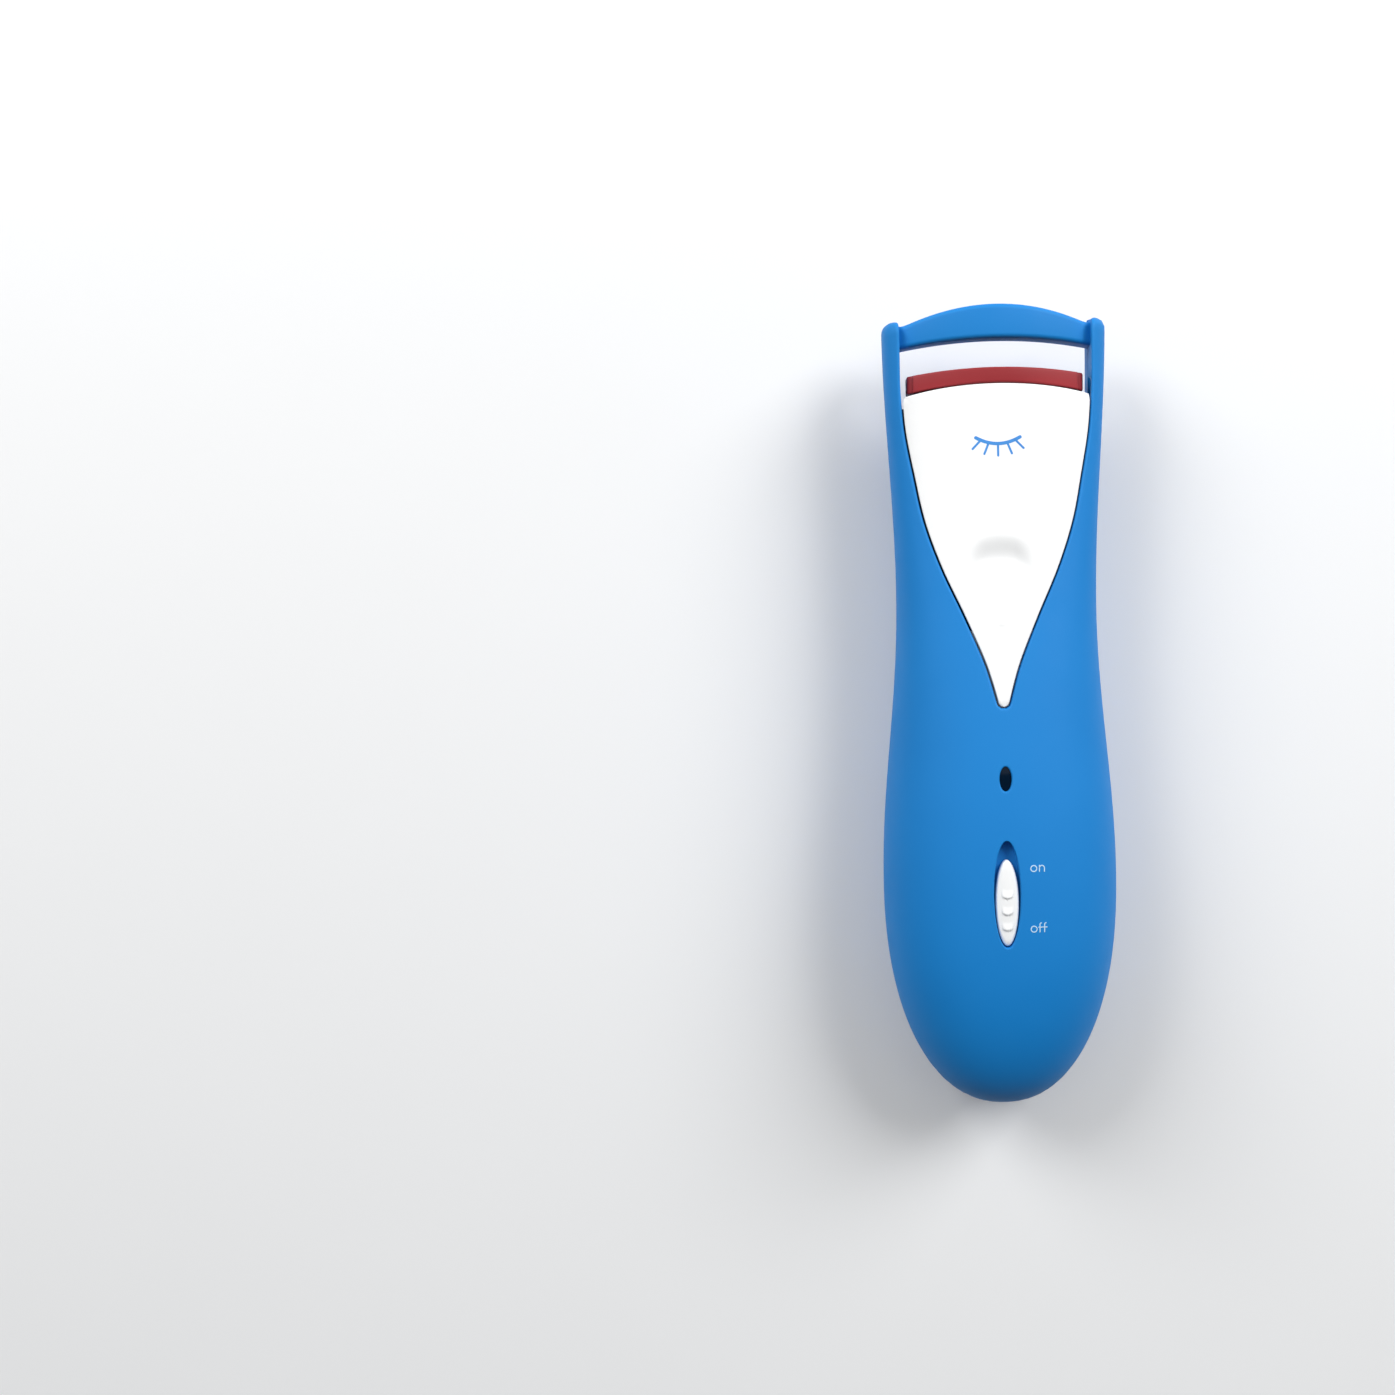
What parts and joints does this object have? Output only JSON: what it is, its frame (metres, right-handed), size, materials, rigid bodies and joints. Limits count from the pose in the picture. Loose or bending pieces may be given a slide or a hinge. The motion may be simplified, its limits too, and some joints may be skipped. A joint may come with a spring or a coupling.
{
  "type": "heated eyelash curler",
  "caption": "Battery-powered heated eyelash curler: a slim round-tailed handle with a sliding thumb panel that closes a silicone pad on a curved lash bar.",
  "frame": {"origin": "under the middle of the outline, on the flat of the back that the curler lies on", "axes": "+X to the right seen from the front, +Y from the round tail to the lash bar, +Z out of the front face with the thumb panel"},
  "size_m": [0.0346, 0.119, 0.0248],
  "materials": {
    "soft_touch_blue": "satin soft-touch coating",
    "gloss_white": "polished",
    "red_silicone": "satin silicone",
    "smoked_lens": "polished, dark",
    "natural_nylon": "as moulded",
    "black_plastic": "as moulded",
    "board_laminate": "solder mask over fibreglass",
    "cell_wrap": "printed film over metal",
    "nickel_steel": "nickel plated",
    "screw_steel": "zinc plated",
    "heater_aluminium": "satin",
    "heater_ceramic": "unglazed",
    "red_epoxy": "clear red epoxy",
    "red_wire": "silicone insulation",
    "black_wire": "silicone insulation"
  },
  "bodies": {
    "handle": {"front_shell": "soft_touch_blue", "back_shell": "soft_touch_blue", "lash_bar": "soft_touch_blue", "slide_switch": "nickel_steel", "led_lens": "smoked_lens", "indicator_led": "red_epoxy", "circuit_board": "board_laminate", "timer_chip": "black_plastic", "power_transistor": "black_plastic", "capacitor": "black_plastic", "battery_tray": "natural_nylon", "battery_left": "cell_wrap", "battery_right": "cell_wrap", "contact_bridge": "nickel_steel", "contact_spring_tail": "nickel_steel", "contact_spring_head": "nickel_steel", "contact_plate_left": "nickel_steel", "contact_plate_right": "nickel_steel", "return_spring_left": "nickel_steel", "return_spring_right": "nickel_steel", "heater_lead_left": "red_wire", "heater_lead_right": "black_wire", "shell_screw_left": "screw_steel", "shell_screw_right": "screw_steel", "shell_screw_tail": "screw_steel", "board_screw_rear": "screw_steel", "board_screw_front": "screw_steel"},
    "clamp": {"thumb_slide": "gloss_white", "slide_carriage": "black_plastic", "silicone_pad": "red_silicone", "heater_plate": "heater_aluminium", "heater_element": "heater_ceramic", "panel_screw_left": "screw_steel", "panel_screw_right": "screw_steel"},
    "switch": {"switch_knob": "gloss_white", "switch_slider": "black_plastic"},
    "cover": {"battery_cover": "soft_touch_blue"}
  },
  "joints": [
    {"name": "clamp_slide", "type": "slide", "parent": "handle", "child": "clamp", "axis": [0, 1, 0], "range_m": [0, 0.00385], "stiffness_N_per_m": 250, "springref_m": -0.004, "deforming": ["return_spring_left", "return_spring_right", "heater_lead_left", "heater_lead_right"]},
    {"name": "switch_slide", "type": "slide", "parent": "handle", "child": "switch", "axis": [0, 1, 0], "range_m": [0, 0.0026]},
    {"name": "battery_cover_slide", "type": "slide", "parent": "handle", "child": "cover", "axis": [0, -1, 0], "range_m": [0, 0.07]}
  ]
}
